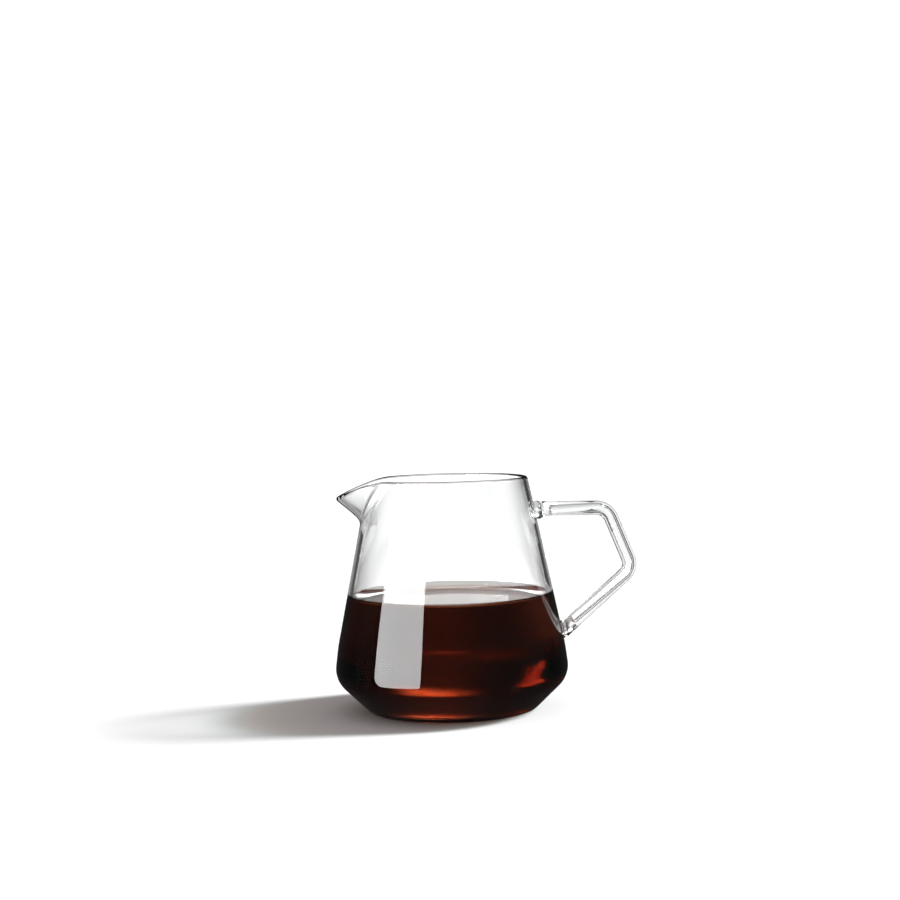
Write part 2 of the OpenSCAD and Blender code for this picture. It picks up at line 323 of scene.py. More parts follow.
def maths(tree, operation, *values):
    """The output of a new Math node."""
    node = tree.nodes.new("ShaderNodeMath")
    node.operation = operation
    for socket, value in zip(node.inputs, values):
        feed(tree, socket, value)
    return node.outputs["Value"]


def mixed(tree, share, first, second):
    """The output of a new Mix node of two numbers."""
    node = tree.nodes.new("ShaderNodeMix")
    for label, value in (("Factor", share), ("A", first), ("B", second)):
        feed(tree, node.inputs[label], value)
    return node.outputs["Result"]


def new_material(name):
    """A new material with its nodes and the function that links them."""
    mat = bpy.data.materials.new(name)
    mat.use_nodes = True
    return mat, mat.node_tree.nodes, mat.node_tree.links.new


def add_relief(tree, height, distance):
    """Lets the shader of a material follow a height, this far up and down."""
    relief = tree.nodes.new("ShaderNodeBump")
    relief.inputs["Distance"].default_value = distance
    tree.links.new(height, relief.inputs["Height"])
    tree.links.new(relief.outputs["Normal"], tree.nodes["Principled BSDF"].inputs["Normal"])


def add_noise_relief(tree, scale, distance):
    """A fine relief of plain noise, fixed to the object."""
    where = tree.nodes.new("ShaderNodeTexCoord")
    noise = tree.nodes.new("ShaderNodeTexNoise")
    noise.inputs["Scale"].default_value = scale
    tree.links.new(where.outputs["Object"], noise.inputs["Vector"])
    add_relief(tree, noise.outputs["Fac"], distance)


def new_group(name, inputs, outputs):
    """An empty shader node group with named sockets; inputs are (name, kind, default)."""
    group = bpy.data.node_groups.new(name, "ShaderNodeTree")
    for label, kind, default in inputs:
        group.interface.new_socket(name=label, in_out="INPUT", socket_type=kind).default_value = default
    for label, kind in outputs:
        group.interface.new_socket(name=label, in_out="OUTPUT", socket_type=kind)
    return group, group.nodes.new("NodeGroupInput"), group.nodes.new("NodeGroupOutput")


def hand_blown_group():
    """Slow waves and faint draw lines of blown glass, as a height, and the small change of its polish."""
    if "Hand-blown surface" in bpy.data.node_groups:
        return bpy.data.node_groups["Hand-blown surface"]
    group, source, result = new_group(
        "Hand-blown surface",
        [
            ("Vector", "NodeSocketVector", (0, 0, 0)),
            ("Wave Scale", "NodeSocketFloat", 45.0),
            ("Line Scale", "NodeSocketFloat", 260.0),
            ("Line Share", "NodeSocketFloat", 0.25),
            ("Roughest", "NodeSocketFloat", 0.02),
        ],
        [("Height", "NodeSocketFloat"), ("Roughness", "NodeSocketFloat"), ("Cloud", "NodeSocketFloat")],
    )
    nodes, link = group.nodes, group.links.new
    waves = nodes.new("ShaderNodeTexNoise")
    waves.inputs["Detail"].default_value = 1.0
    link(source.outputs["Vector"], waves.inputs["Vector"])
    link(source.outputs["Wave Scale"], waves.inputs["Scale"])
    squeeze = nodes.new("ShaderNodeMapping")
    squeeze.inputs["Scale"].default_value = (0.12, 0.12, 1.0)
    link(source.outputs["Vector"], squeeze.inputs["Vector"])
    lines = nodes.new("ShaderNodeTexNoise")
    lines.inputs["Detail"].default_value = 2.0
    link(squeeze.outputs["Vector"], lines.inputs["Vector"])
    link(source.outputs["Line Scale"], lines.inputs["Scale"])
    height = mixed(group, source.outputs["Line Share"], waves.outputs["Fac"], lines.outputs["Fac"])
    polish = nodes.new("ShaderNodeMapRange")
    polish.inputs["From Min"].default_value = 0.45
    polish.inputs["From Max"].default_value = 0.75
    link(lines.outputs["Fac"], polish.inputs["Value"])
    link(source.outputs["Roughest"], polish.inputs["To Max"])
    link(height, result.inputs["Height"])
    link(polish.outputs["Result"], result.inputs["Roughness"])
    link(waves.outputs["Fac"], result.inputs["Cloud"])
    return group


def glass_material(name, tint, ior, wave_scale, bump_mm, shade, roughest=0.015):
    """Clear glass with a hand-blown surface; lamps reach what is behind it, dimmed by shade."""
    mat, nodes, link = new_material(name)
    shader = nodes["Principled BSDF"]
    output = nodes["Material Output"]
    where = nodes.new("ShaderNodeTexCoord")
    blown = nodes.new("ShaderNodeGroup")
    blown.node_tree = hand_blown_group()
    blown.inputs["Wave Scale"].default_value = wave_scale
    blown.inputs["Roughest"].default_value = roughest
    link(where.outputs["Object"], blown.inputs["Vector"])
    tone = nodes.new("ShaderNodeMix")
    tone.data_type = "RGBA"
    tone.inputs["A"].default_value = (*tint, 1)
    tone.inputs["B"].default_value = (*(min(1.0, c * 1.01) for c in tint), 1)
    link(blown.outputs["Cloud"], tone.inputs["Factor"])
    link(tone.outputs["Result"], shader.inputs["Base Color"])
    link(blown.outputs["Roughness"], shader.inputs["Roughness"])
    shader.inputs["IOR"].default_value = ior
    shader.inputs["Transmission Weight"].default_value = 1.0
    add_relief(mat.node_tree, blown.outputs["Height"], bump_mm * MM)
    passing = nodes.new("ShaderNodeBsdfTransparent")
    slant = nodes.new("ShaderNodeLayerWeight")
    # A wall seen edge-on lets less of a lamp's light through
    edge_share = 0.7
    dimming = nodes.new("ShaderNodeMapRange")
    dimming.inputs["From Min"].default_value = 0.2
    dimming.inputs["To Min"].default_value = shade
    dimming.inputs["To Max"].default_value = shade * edge_share
    link(slant.outputs["Facing"], dimming.inputs["Value"])
    link(dimming.outputs["Result"], passing.inputs["Color"])
    rays = nodes.new("ShaderNodeLightPath")
    choice = nodes.new("ShaderNodeMixShader")
    link(rays.outputs["Is Shadow Ray"], choice.inputs["Fac"])
    link(shader.outputs["BSDF"], choice.inputs[1])
    link(passing.outputs["BSDF"], choice.inputs[2])
    link(choice.outputs["Shader"], output.inputs["Surface"])
    return mat


def coffee_material(finish):
    """Filter coffee: a still mirror on top, no skin of its own against the glass, and a deep red body."""
    mat, nodes, link = new_material("Coffee")
    shader = nodes["Principled BSDF"]
    output = nodes["Material Output"]
    add_noise_relief(mat.node_tree, 30.0, 0.02 * MM)
    shader.inputs["Base Color"].default_value = (1, 1, 1, 1)
    shader.inputs["Roughness"].default_value = 0.0
    shader.inputs["IOR"].default_value = COFFEE_IOR
    shader.inputs["Transmission Weight"].default_value = 1.0
    rays = nodes.new("ShaderNodeLightPath")
    # Lamps lose their red in the coffee too, because its curve throws that light aside
    shade = nodes.new("ShaderNodeMix")
    shade.data_type = "RGBA"
    shade.inputs["A"].default_value = (1, 1, 1, 1)
    shade.inputs["B"].default_value = (*finish.coffee_shade, 1)
    link(rays.outputs["Is Shadow Ray"], shade.inputs["Factor"])
    passing = nodes.new("ShaderNodeBsdfTransparent")
    link(shade.outputs["Result"], passing.inputs["Color"])
    skin = nodes.new("ShaderNodeAttribute")
    skin.attribute_name = "open_surface"
    seen = maths(mat.node_tree, "SUBTRACT", skin.outputs["Fac"], rays.outputs["Is Shadow Ray"])
    seen.node.use_clamp = True
    choice = nodes.new("ShaderNodeMixShader")
    link(seen, choice.inputs["Fac"])
    link(passing.outputs["BSDF"], choice.inputs[1])
    link(shader.outputs["BSDF"], choice.inputs[2])
    link(choice.outputs["Shader"], output.inputs["Surface"])
    body = nodes.new("ShaderNodeVolumeAbsorption")
    body.inputs["Color"].default_value = (*finish.coffee, 1)
    body.inputs["Density"].default_value = finish.coffee_density
    link(body.outputs["Volume"], output.inputs["Volume"])
    return mat


def floor_material(tint):
    """Matt pale paper with a faint tooth."""
    mat, nodes, _ = new_material("Floor paper")
    shader = nodes["Principled BSDF"]
    add_noise_relief(mat.node_tree, 900.0, 0.02 * MM)
    shader.inputs["Base Color"].default_value = (*tint, 1)
    shader.inputs["Roughness"].default_value = 0.9
    shader.inputs["Specular IOR Level"].default_value = 0.0
    return mat


def emitter_material(name, strength):
    """An evenly lit diffuser, which doesn't light the floor through the coffee."""
    mat, nodes, link = new_material(name)
    nodes.remove(nodes["Principled BSDF"])
    glow = nodes.new("ShaderNodeEmission")
    rays = nodes.new("ShaderNodeLightPath")
    before_floor = maths(mat.node_tree, "LESS_THAN", rays.outputs["Diffuse Depth"], 0.5)
    link(maths(mat.node_tree, "MULTIPLY", strength, before_floor), glow.inputs["Strength"])
    link(glow.outputs["Emission"], nodes["Material Output"].inputs["Surface"])
    return mat


def graded_material(name, width, stops, peak=2.0):
    """A card lit unevenly across its width; stops are (millimetres from its middle, brightness)."""
    mat = emitter_material(name, peak)
    nodes, link = mat.node_tree.nodes, mat.node_tree.links.new
    where = nodes.new("ShaderNodeTexCoord")
    parts = nodes.new("ShaderNodeSeparateXYZ")
    link(where.outputs["UV"], parts.inputs["Vector"])
    ramp = nodes.new("ShaderNodeValToRGB")
    points = ramp.color_ramp.elements
    for place, _ in stops[1:-1]:
        points.new(0.5 + place * MM / width)
    for point, (_, level) in zip(points, stops):
        point.color = (level / peak, level / peak, level / peak, 1)
    link(parts.outputs["Y"], ramp.inputs["Fac"])
    link(ramp.outputs["Color"], nodes["Emission"].inputs["Color"])
    return mat


def glow_group():
    """A soft round patch of brightness on the sky behind the server, by bearing and height."""
    group, source, result = new_group(
        "Soft glow",
        [
            ("Direction", "NodeSocketVector", (0, 1, 0)),
            ("Centre", "NodeSocketVector", (0, 0, 0)),
            ("Width", "NodeSocketFloat", 0.2),
            ("Height", "NodeSocketFloat", 0.2),
            ("Strength", "NodeSocketFloat", 1.0),
        ],
        [("Glow", "NodeSocketFloat")],
    )
    nodes, link = group.nodes, group.links.new
    offset = nodes.new("ShaderNodeVectorMath")
    offset.operation = "SUBTRACT"
    link(source.outputs["Direction"], offset.inputs[0])
    link(source.outputs["Centre"], offset.inputs[1])
    parts = nodes.new("ShaderNodeSeparateXYZ")
    link(offset.outputs["Vector"], parts.inputs["Vector"])
    ways = nodes.new("ShaderNodeSeparateXYZ")
    link(source.outputs["Direction"], ways.inputs["Vector"])
    squares = []
    for part, size in (("X", "Width"), ("Z", "Height")):
        share = maths(group, "DIVIDE", parts.outputs[part], source.outputs[size])
        squares.append(maths(group, "POWER", share, 2.0))
    fall = maths(group, "EXPONENT", maths(group, "MULTIPLY", maths(group, "ADD", *squares), -1.0))
    behind = maths(group, "GREATER_THAN", ways.outputs["Y"], 0.0)
    lit = maths(group, "MULTIPLY", maths(group, "MULTIPLY", fall, behind), source.outputs["Strength"])
    link(lit, result.inputs["Glow"])
    return group


def studio_world(stage, glows):
    """Even light for the floor, white for the camera, and for the glass a dim room with soft glows."""
    world = bpy.data.worlds.new("Studio")
    world.use_nodes = True
    tree = world.node_tree
    nodes, link = tree.nodes, tree.links.new
    where = nodes.new("ShaderNodeTexCoord")
    rays = nodes.new("ShaderNodeLightPath")
    group = glow_group()
    level = stage.dim
    for (bearing, rise), width, height, strength in glows:
        glow = nodes.new("ShaderNodeGroup")
        glow.node_tree = group
        centre = (math.sin(math.radians(bearing)), 0, math.sin(math.radians(rise)))
        glow.inputs["Centre"].default_value = centre
        glow.inputs["Width"].default_value = math.radians(width)
        glow.inputs["Height"].default_value = math.radians(height)
        glow.inputs["Strength"].default_value = strength
        link(where.outputs["Generated"], glow.inputs["Direction"])
        level = maths(tree, "ADD", level, glow.outputs["Glow"])
    # Seen from the sides, the back and above, the glass stands before a bright room
    ways = nodes.new("ShaderNodeSeparateXYZ")
    link(where.outputs["Generated"], ways.inputs["Vector"])
    for way, dark_to, bright_from in (("Y", 0.5, 0.3), ("Z", -0.75, -0.9)):
        side = nodes.new("ShaderNodeMapRange")
        side.inputs["From Min"].default_value = dark_to
        side.inputs["From Max"].default_value = bright_from
        link(ways.outputs[way], side.inputs["Value"])
        level = mixed(tree, side.outputs["Result"], level, stage.bright)
    before_floor = maths(tree, "LESS_THAN", rays.outputs["Diffuse Depth"], 0.5)
    through = maths(tree, "MULTIPLY", before_floor, rays.outputs["Is Transmission Ray"])
    seen = stage.ambient
    for when, value in (
        (rays.outputs["Is Glossy Ray"], stage.dim / 2),
        (through, level),
        (rays.outputs["Is Camera Ray"], stage.white),
    ):
        seen = mixed(tree, when, seen, value)
    sky = nodes["Background"]
    sky.inputs["Color"].default_value = (1, 1, 1, 1)
    link(seen, sky.inputs["Strength"])
    return world


# Operators


class SERVER_OT_vessel(bpy.types.Operator):
    """Turns the blown body and pulls the pouring lip out of its rim"""

    bl_idname = "coffee_server.vessel"
    bl_label = "Vessel"

    def execute(self, context):
        scene = context.scene
        size, finish = scene.server_body, scene.server_finishes
        shape = BodyShape(size)
        inner = InnerLines(shape, size.wall_t, size.floor_t)
        contact_h = size.fill_h + size.meniscus
        bm = bmesh.new()
        pen = Pen(bm, 0, 0)
        pen.line(size.foot_r * 0.5, 0, 3)
        pen.corner((size.foot_r, 0), (size.ridge_r, size.ridge_h), size.foot_reach, 8, 3)
        pen.corner((size.ridge_r, size.ridge_h), (size.belt_r, size.belt_h), size.ridge_reach, 18, 4)
        pen.corner((size.belt_r, size.belt_h), (size.rim_r, size.body_h), size.belt_reach, 6, 3)
        pen.line(shape.wall_r(shape.neck_h), shape.neck_h, 14)
        pen.line(shape.wall_r(shape.plain_end_h), shape.plain_end_h, 30)
        outer_end = pen.tip.co.copy()
        # The fire-polished rim: half a turn about the middle of the sheet's end
        pen.arc(outer_end - Vector((shape.level_t / 2, 0, 0)), math.pi, 12)
        cap = [v for v in bm.verts if v.co.z > shape.plain_end_h + 1e-9]
        for v in cap:
            rise = (v.co.z - shape.plain_end_h) * math.cos(shape.lean)
            v.co.x -= math.sin(shape.lean) * rise
            v.co.z = shape.plain_end_h + math.cos(shape.lean) * rise
        pen.line(*inner.wall_at(shape.neck_h), 30)
        pen.line(*inner.wall_at(contact_h), 8)
        floor = Pen(bm, 0, size.floor_t)
        inner.draw(floor, contact_h, 8)
        turn_full(bm, BODY_STEPS)
        for v in bm.verts:
            if v.co.z > shape.neck_h + 1e-9:
                v.co = shape.pulled(v.co)
        bmesh.ops.recalc_face_normals(bm, faces=bm.faces)
        for face in bm.faces:
            co = face.calc_center_median()
            inward = co.z > size.floor_t / 2 and face.normal.dot(Vector((co.x, co.y, 0))) < 0
            floor_middle = abs(co.z - size.floor_t) < 1e-6
            floor_edge = face.normal.z > 0.9 and co.z < size.floor_t * 2
            if co.z < contact_h and (inward or floor_middle or floor_edge):
                face.material_index = 1
        surface = {"wave_scale": 42.0, "bump_mm": 0.05}
        dry = glass_material("Clear glass", finish.glass, GLASS_IOR, shade=0.9, **surface)
        wet_ior = GLASS_IOR / COFFEE_IOR
        wet = glass_material("Clear glass wetted by coffee", finish.glass, wet_ior, shade=0.99, **surface)
        make_piece("vessel_glass", bm, [dry, wet], "vessel")
        return {"FINISHED"}


class SERVER_OT_coffee(bpy.types.Operator):
    """Fills the body with coffee up to its surface, with the meniscus at the glass"""

    bl_idname = "coffee_server.coffee"
    bl_label = "Coffee"

    def execute(self, context):
        scene = context.scene
        size, finish = scene.server_body, scene.server_finishes
        shape = BodyShape(size)
        # The coffee reaches this far into the glass, so that no air is left between them
        wetting = 0.03 * MM
        inner = InnerLines(shape, size.wall_t - wetting, size.floor_t - wetting)
        contact_h = size.fill_h + size.meniscus
        bm = bmesh.new()
        pen = Pen(bm, 0, size.floor_t - wetting)
        inner.draw(pen, contact_h, 8)
        edge = pen.tip.co.copy()
        # The meniscus falls away from the glass along the curve that surface tension gives it
        width = size.climb_width
        steepest = 2 * math.asin(size.meniscus / (2 * width))

        def climb_in(slope):
            """How far the surface is from where it would be upright, at this slope."""
            return width * (math.log(1 / math.tan(slope / 4)) - 2 * math.cos(slope / 2))

        steps = 28
        for i in range(1, steps):
            slope = steepest * (1 - i / steps) ** 1.5
            rise = 2 * width * math.sin(slope / 2)
            pen.line(edge.x - climb_in(slope) + climb_in(steepest), size.fill_h + rise)
        pen.line(pen.tip.co.x - 2 * MM, size.fill_h)
        pen.line(0, size.fill_h, 8)
        turn_full(bm, COFFEE_STEPS)
        bmesh.ops.recalc_face_normals(bm, faces=bm.faces)
        layer = bm.faces.layers.float.new("open_surface")
        for face in bm.faces:
            at_top = face.calc_center_median().z > size.fill_h - 1e-5
            face[layer] = float(at_top and face.normal.z > 0.3)
        make_piece("coffee_fill", bm, [coffee_material(finish)], "coffee")
        return {"FINISHED"}


class HandleShape:
    """The centreline of the bent tube, in the upright plane through the lip and the handle."""

    def __init__(self, body, size):
        self.lean = body.lean
        self.top = Vector((body.wall_r(size.upper_joint_h), 0, size.upper_joint_h))
        self.elbow_a = Vector((size.upper_elbow_x, 0, size.upper_elbow_h))
        self.elbow_b = Vector((size.lower_elbow_x, 0, size.lower_elbow_h))
        self.bottom = Vector((body.wall_r(size.lower_joint_h), 0, size.lower_joint_h))
        self.off_wall = Vector((math.cos(body.lean), 0, math.sin(body.lean)))
        self.top_u = (self.elbow_a - self.top).normalized()
        self.grip_u = (self.elbow_b - self.elbow_a).normalized()
        self.bottom_u = (self.elbow_b - self.bottom).normalized()
        self.bends = [
            (self.elbow_a, -self.top_u, self.grip_u, size.upper_bend),
            (self.elbow_b, -self.grip_u, -self.bottom_u, size.lower_bend),
        ]


def ring_across(bm, centre, direction, radius, segments):
    """A ring of edges about a point, square to a direction in the handle's plane."""
    turn = Vector((0, 0, 1)).rotation_difference(direction).to_matrix().to_4x4()
    made = bmesh.ops.create_circle(
        bm, segments=segments, radius=radius, cap_ends=False, matrix=Matrix.Translation(centre) @ turn
    )
    return list(dict.fromkeys(e for v in made["verts"] for e in v.link_edges))


def loop_verts(edges):
    """The vertices of a ring of edges, each once."""
    return list(dict.fromkeys(v for e in edges for v in e.verts))


def run_loop(bm, edges, move, pieces):
    """Extrudes a ring of edges straight on in equal pieces."""
    for _ in range(pieces):
        made = bmesh.ops.extrude_edge_only(bm, edges=edges)["geom"]
        edges = [g for g in made if isinstance(g, bmesh.types.BMEdge)]
        bmesh.ops.translate(bm, verts=loop_verts(edges), vec=move / pieces)
    return edges


def bend_loop(bm, edges, bend, steps):
    """Spins a ring of edges round one elbow of the centreline."""
    corner, back, on, radius = bend
    half = back.angle(on) / 2
    centre = corner + (back + on).normalized() * radius / math.sin(half)
    made = bmesh.ops.spin(
        bm, geom=edges, cent=centre, axis=(0, 1, 0), angle=math.pi - 2 * half, steps=steps,
        use_duplicate=False,
    )
    return [g for g in made["geom_last"] if isinstance(g, bmesh.types.BMEdge)]


def bend_start(bend):
    """How far before and after its corner an elbow begins and ends."""
    corner, back, on, radius = bend
    return radius / math.tan(back.angle(on) / 2)


def sweep(bm, edges, start, end, shape):
    """Carries a ring along the centreline from one point on the upper arm to one on the lower arm."""
    first, second = shape.bends
    edges = run_loop(bm, edges, first[0] - shape.top_u * bend_start(first) - start, 12)
    edges = bend_loop(bm, edges, first, 20)
    grip_from = first[0] + shape.grip_u * bend_start(first)
    grip_to = second[0] - shape.grip_u * bend_start(second)
    edges = run_loop(bm, edges, grip_to - grip_from, 10)
    edges = bend_loop(bm, edges, second, 20)
    return run_loop(bm, edges, end - (second[0] - shape.bottom_u * bend_start(second)), 12)


def round_end(bm, edges, centre, direction, radius, steps):
    """Closes a ring of edges with a half ball."""
    for i in range(1, steps + 1):
        angle = math.pi / 2 * i / steps
        made = bmesh.ops.extrude_edge_only(bm, edges=edges)["geom"]
        edges = [g for g in made if isinstance(g, bmesh.types.BMEdge)]
        verts = loop_verts(edges)
        middle = sum((v.co for v in verts), Vector()) / len(verts)
        for v in verts:
            out = (v.co - middle).normalized()
            v.co = centre + out * radius * math.cos(angle) + direction * radius * math.sin(angle)
    bmesh.ops.remove_doubles(bm, verts=loop_verts(edges), dist=1e-6)


class SERVER_OT_handle(bpy.types.Operator):
    """Sweeps the hollow glass tube round its two elbows and melts its ends shut"""

    bl_idname = "coffee_server.handle"
    bl_label = "Handle"

    def execute(self, context):
        scene = context.scene
        size, finish = scene.server_handle, scene.server_finishes
        shape = HandleShape(BodyShape(scene.server_body), size)
        bm = bmesh.new()
        start = shape.top + shape.off_wall * size.upper_pad_t
        end = shape.bottom + shape.off_wall * size.lower_pad_t
        first = ring_across(bm, start, shape.top_u, size.tube_r, TUBE_STEPS)
        ring = sweep(bm, first, start, end, shape)
        for edges, place, u in ((first, start, shape.top_u), (ring, end, shape.bottom_u)):
            for v in loop_verts(edges):
                v.co += u * ((place - v.co).dot(shape.off_wall) / u.dot(shape.off_wall))
            bmesh.ops.edgeloop_fill(bm, edges=edges)
        bmesh.ops.recalc_face_normals(bm, faces=bm.faces)
        outside = set(bm.faces)
        bore_from = shape.top + shape.top_u * (size.upper_pad_t + size.end_plug)
        bore_to = shape.bottom + shape.bottom_u * (size.lower_pad_t + size.end_plug + size.bore_r)
        first = ring_across(bm, bore_from, shape.top_u, size.bore_r, BORE_STEPS)
        ring = sweep(bm, first, bore_from, bore_to, shape)
        round_end(bm, first, bore_from, -shape.top_u, size.bore_r, 6)
        round_end(bm, ring, bore_to, -shape.bottom_u, size.bore_r, 6)
        bore = [f for f in bm.faces if f not in outside]
        bmesh.ops.recalc_face_normals(bm, faces=bore)
        bmesh.ops.reverse_faces(bm, faces=bore)
        surface = {"wave_scale": 60.0, "bump_mm": 0.03}
        glass = glass_material("Clear glass of the handle", finish.glass, GLASS_IOR, shade=0.93, **surface)
        make_piece("handle_glass", bm, [glass], "handle")
        return {"FINISHED"}


class SERVER_OT_pads(bpy.types.Operator):
    """Presses the two fused pads that carry the handle onto the wall"""

    bl_idname = "coffee_server.pads"
    bl_label = "Fused pads"

    def pad(self, name, place, radius, depth, bead, tube_r, shape, glass, node):
        """A thick bead on the wall and a neck as wide as the tube, turned and pressed to the wall's curve."""
        bm = bmesh.new()
        step = shape.size.wall_t / 4
        pen = Pen(bm, 0, -step)
        pen.line(radius - step, -step, 5)
        pen.line(radius, step / 2, 2)
        pen.line(radius, bead / 2, 2)
        pen.line(radius - step, bead, 2)
        pen.line(tube_r - step, bead, 2)
        pen.line(tube_r, depth, 2)
        pen.line(0, depth, 4)
        turn_full(bm, PAD_STEPS)
        turn = Matrix.Rotation(math.pi / 2 - shape.lean, 4, "Y")
        bmesh.ops.transform(bm, matrix=Matrix.Translation(place) @ turn, verts=bm.verts)
        # The foot of the pad takes the curve of the wall it is pressed on, a hair clear of it
        hair = 0.03 * MM
        for v in bm.verts:
            reach = math.hypot(v.co.x, v.co.y)
            least = shape.wall_r(v.co.z) + hair
            if reach < least:
                v.co.x *= least / reach
                v.co.y *= least / reach
        bmesh.ops.recalc_face_normals(bm, faces=bm.faces)
        make_piece(name, bm, [glass], node)

    def execute(self, context):
        scene = context.scene
        size, body, finish = scene.server_handle, scene.server_body, scene.server_finishes
        shape = BodyShape(body)
        line = HandleShape(shape, size)
        surface = {"wave_scale": 220.0, "bump_mm": 0.12, "roughest": 0.03}
        glass = glass_material("Fused glass", finish.fused, GLASS_IOR, shade=0.93, **surface)
        for name, place, radius, depth, node in (
            ("upper_pad_glass", line.top, size.upper_pad_r, size.upper_pad_t, "upper_pad"),
            ("lower_pad_glass", line.bottom, size.lower_pad_r, size.lower_pad_t, "lower_pad"),
        ):
            bead = min(depth - body.wall_t / 2, 2 * size.bore_r)
            self.pad(name, place, radius, depth, bead, size.tube_r, shape, glass, node)
        return {"FINISHED"}


class SERVER_OT_stage(bpy.types.Operator):
    """Lays the pale floor and sets the backdrop, the lamps and the camera"""

    bl_idname = "coffee_server.stage"
    bl_label = "Stage"

    def sheet(self, name, size_x, size_y, matrix, material, corner=0.0):
        """A flat sheet of the stage, with rounded corners where a corner radius is given."""
        bm = bmesh.new()
        bm.loops.layers.uv.new("UVMap")
        bmesh.ops.create_grid(bm, x_segments=1, y_segments=1, size=0.5, calc_uvs=True)
        bmesh.ops.scale(bm, vec=(size_x, size_y, 1), verts=bm.verts)
        if corner:
            bmesh.ops.bevel(
                bm, geom=bm.verts[:], offset=corner, offset_type="OFFSET", affect="VERTICES", segments=6,
                profile=0.5, material=-1,
            )
        bmesh.ops.transform(bm, matrix=matrix, verts=bm.verts)
        mesh = bpy.data.meshes.new(name)
        bm.to_mesh(mesh)
        bm.free()
        mesh.materials.append(material)
        sheet = bpy.data.objects.new(name, mesh)
        bpy.context.scene.collection.objects.link(sheet)
        return sheet

    def facing(self, azimuth, elevation, distance, target=(0, 0, 0.045)):
        """A matrix that puts a sheet out at a bearing from +X, turned towards the server."""
        a, e = math.radians(azimuth), math.radians(elevation)
        out = Vector((math.cos(a) * math.cos(e), math.sin(a) * math.cos(e), math.sin(e)))
        turn = out.to_track_quat("Z", "Y").to_matrix().to_4x4()
        return Matrix.Translation(Vector(target) + out * distance) @ turn

    def light_only(self, sheet, **rays):
        """Lets a sheet be met only by the kinds of ray that are named."""
        for kind in ("camera", "diffuse", "glossy", "transmission", "shadow"):
            setattr(sheet, "visible_" + kind, rays.get(kind, False))

    def handle_cards(self, scene):
        """Cards close behind the handle's runs and upper elbow, met only by light that its glass bends."""
        line = HandleShape(BodyShape(scene.server_body), scene.server_handle)
        # Stops are (millimetres from the card's middle, brightness)
        middle = ((-3, 0.85), (-1.5, 1.1), (0, 1.05), (1, 0.88), (2.5, 0.72))
        upper = ((-12, 0.4), (-5, 0.55), *middle, (5, 0.5), (12, 0.4))
        grip = ((-12, 0.5), (-5, 0.7), (-2, 0.95), (0, 1.05), (2.2, 0.95), (3.2, 0.5), (4, 0.12), (12, 0.06))
        lower_middle = ((-3.2, 0.9), (-1.5, 1.1), (0, 1.0), (1.2, 0.8), (2.5, 0.62))
        lower = ((-12, 0.1), (-4.4, 0.2), *lower_middle, (12, 0.45))
        wide, narrow = 24 * MM, 9 * MM
        upper_start = line.top + line.top_u * 5 * MM
        lower_start = line.bottom + line.bottom_u * 5 * MM
        # Near the wall the card is narrow, so that the wall doesn't show it
        root = line.top + line.top_u * 9 * MM
        for name, start, end, behind, width, stops in (
            ("card_upper_root", upper_start, root, 6.2, narrow, middle),
            ("card_upper_arm", root, line.elbow_a, 6.2, wide, upper),
            ("card_grip", line.elbow_a, line.elbow_b, 6.0, wide, grip),
            ("card_lower_arm", lower_start, line.elbow_b, 6.2, wide, lower),
        ):
            along = end - start
            tilt = Matrix.Rotation(-math.atan2(along.z, along.x), 4, "Y")
            place = Matrix.Translation((start + end) / 2 + Vector((0, behind * MM, 0))) @ tilt @ UPRIGHT
            card = self.sheet(name, along.length, width, place, graded_material(name, width, stops))
            self.light_only(card, transmission=True)
        # A dim card inside the bend, which the glass shows, paints shade along the upper elbow's outer side
        inward = (line.grip_u - line.top_u).normalized()
        place = Matrix.Translation(line.elbow_a + inward * 9 * MM + Vector((0, 5.5 * MM, 0)))
        turn = Matrix.Rotation(-math.atan2(inward.x, inward.z), 4, "Y") @ UPRIGHT
        dark = emitter_material("Card painting shade inside the upper elbow", 0.1)
        card = self.sheet("shade_card_upper_elbow", 6.5 * MM, 11 * MM, place @ turn, dark)
        self.light_only(card, transmission=True)

    def lip_card(self):
        """A card behind the pouring lip, so that its folds stay pale."""
        size_x, size_z = 0.045, 0.024
        place = Matrix.Translation((-0.0545, 0.03, 0.082)) @ UPRIGHT
        stops = ((-12, 0.6), (-7, 0.85), (-1, 1.1), (12, 1.2))
        graded = graded_material("Card behind the lip", size_z, stops)
        card = self.sheet("card_behind_lip", size_x, size_z, place, graded)
        self.light_only(card, transmission=True)

    def surface_card(self, fill_h):
        """A card behind the coffee's surface, which the surface mirrors as a pale band."""
        size_x, size_z = 0.052, 0.01
        place = Matrix.Translation((0, 0.06, fill_h + 9 * MM)) @ UPRIGHT
        lit = emitter_material("Card behind the surface", 1.5)
        card = self.sheet("card_behind_surface", size_x, size_z, place, lit)
        self.light_only(card, transmission=True)

    def softboxes(self, brightness):
        """The tall softbox that the glass mirrors, and its twin for light that came through the coffee."""
        size_x, size_z, corner = 0.508, 0.82, 0.05
        place = self.facing(azimuth=-144, elevation=11, distance=0.55)
        lit = emitter_material("Softbox", brightness)
        mirrored = self.sheet("tall_softbox", size_x, size_z, place, lit, corner)
        self.light_only(mirrored, glossy=True)
        # Through the coffee it fades towards its foot
        peak = 34.0
        stops = ((-410, 0), (-130, 0), (-10, peak), (410, peak))
        graded = graded_material("Softbox through the coffee", size_z, stops, peak)
        passing = self.sheet("softbox_through", size_x, size_z, place, graded, corner)
        self.light_only(passing, transmission=True)

    def key_lamp(self, scene):
        """A soft sun that only lights the floor, so that the shadow falls to the left."""
        stage = scene.server_stage
        data = bpy.data.lights.new("key_lamp", "SUN")
        data.angle = math.radians(10)
        data.energy = stage.key
        key = bpy.data.objects.new("key_lamp", data)
        key.matrix_world = self.facing(stage.key_bearing, stage.key_height, distance=1.3)
        key.visible_glossy = False
        key.visible_transmission = False
        scene.collection.objects.link(key)

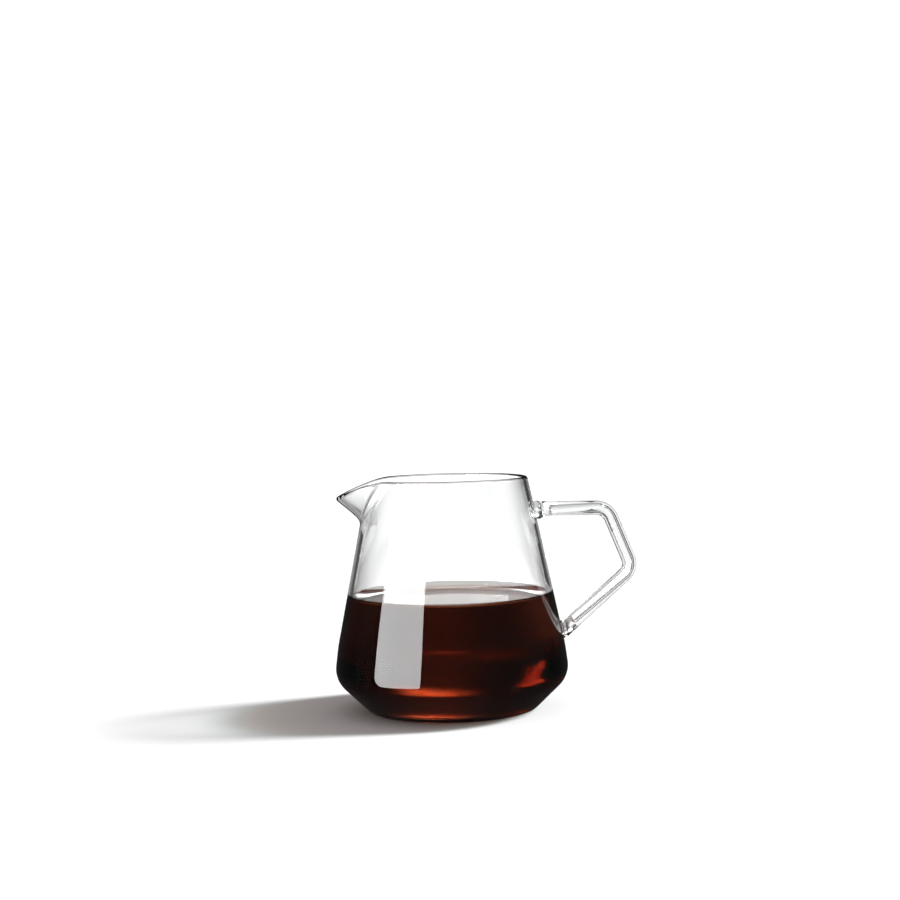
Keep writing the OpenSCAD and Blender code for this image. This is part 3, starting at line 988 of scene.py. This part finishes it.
    def place_camera(self, scene):
        """The photo's viewpoint: a little above the rim, tipped down and rolled slightly."""
        data = bpy.data.cameras.new("camera")
        data.lens = scene.server_stage.lens
        data.sensor_width = 36
        camera = bpy.data.objects.new("camera", data)
        place = (1.2 * MM, -671.4 * MM, 127.4 * MM)
        pitch, roll = math.radians(2.3), math.radians(1.36)
        up = Vector((0, math.sin(pitch), math.cos(pitch)))
        back = Vector((0, -math.cos(pitch), math.sin(pitch)))
        right = Vector((1, 0, 0))
        rolled_right = right * math.cos(roll) - up * math.sin(roll)
        rolled_up = right * math.sin(roll) + up * math.cos(roll)
        turn = Matrix((rolled_right, rolled_up, back)).transposed().to_4x4()
        camera.matrix_world = Matrix.Translation(place) @ turn
        scene.collection.objects.link(camera)
        scene.camera = camera

    def execute(self, context):
        scene = context.scene
        stage = scene.server_stage
        below_foot = Matrix.Translation((0, 0, -0.0001))
        floor = self.sheet("floor", 40, 40, below_foot, floor_material(stage.floor))
        floor.visible_transmission = False
        floor.visible_glossy = False
        self.softboxes(stage.fill)
        self.handle_cards(scene)
        self.lip_card()
        self.surface_card(scene.server_body.fill_h)
        self.key_lamp(scene)
        # Each glow is ((bearing, height of its middle), width, height, strength), the first four in degrees
        glows = (
            ((3.5, -4), 9.5, 20, 0.86),
            ((-9, -4), 10, 4, 0.72),
            ((13, -4), 5, 4, 0.33),
            ((1, 7.5), 6, 4, 0.2),
            ((1.5, -7), 4.5, 1.2, 3.0),
            ((5.5, 20), 7, 4.5, 28),
            ((0, -45), 40, 20, 0.6),
            ((-38, -20), 14, 8, 0.45),
        )
        scene.world = studio_world(stage, glows)
        scene.view_settings.view_transform = "Standard"
        scene.cycles.transparent_max_bounces = 32
        scene.cycles.max_bounces = 20
        scene.cycles.transmission_bounces = 20
        self.place_camera(scene)
        return {"FINISHED"}


class SERVER_PT_panel(bpy.types.Panel):
    """Sizes, finishes and the steps that build the server"""

    bl_idname = "SERVER_PT_panel"
    bl_label = "Coffee Server"
    bl_space_type = "VIEW_3D"
    bl_region_type = "UI"
    bl_category = "Coffee Server"

    def draw(self, context):
        scene = context.scene
        for title, group in (
            ("Body", scene.server_body),
            ("Handle", scene.server_handle),
            ("Finishes", scene.server_finishes),
            ("Stage", scene.server_stage),
        ):
            box = self.layout.box()
            box.label(text=title)
            for prop in group.bl_rna.properties:
                if prop.identifier not in ("rna_type", "name"):
                    box.prop(group, prop.identifier)
        for operator in OPERATORS:
            self.layout.operator(operator.bl_idname)


OPERATORS = (SERVER_OT_stage, SERVER_OT_vessel, SERVER_OT_handle, SERVER_OT_pads, SERVER_OT_coffee)
GROUPS = {
    "server_body": ServerBodySizes,
    "server_handle": ServerHandleSizes,
    "server_finishes": ServerFinishes,
    "server_stage": ServerStage,
}


def register():
    for cls in (*GROUPS.values(), *OPERATORS, SERVER_PT_panel):
        bpy.utils.register_class(cls)
    for name, cls in GROUPS.items():
        setattr(bpy.types.Scene, name, PointerProperty(type=cls))


def unregister():
    for name in GROUPS:
        delattr(bpy.types.Scene, name)
    for cls in reversed((*GROUPS.values(), *OPERATORS, SERVER_PT_panel)):
        bpy.utils.unregister_class(cls)


def main():
    register()
    bpy.ops.coffee_server.stage()
    bpy.ops.coffee_server.vessel()
    bpy.ops.coffee_server.handle()
    bpy.ops.coffee_server.pads()
    bpy.ops.coffee_server.coffee()


if __name__ == "__main__":
    main()
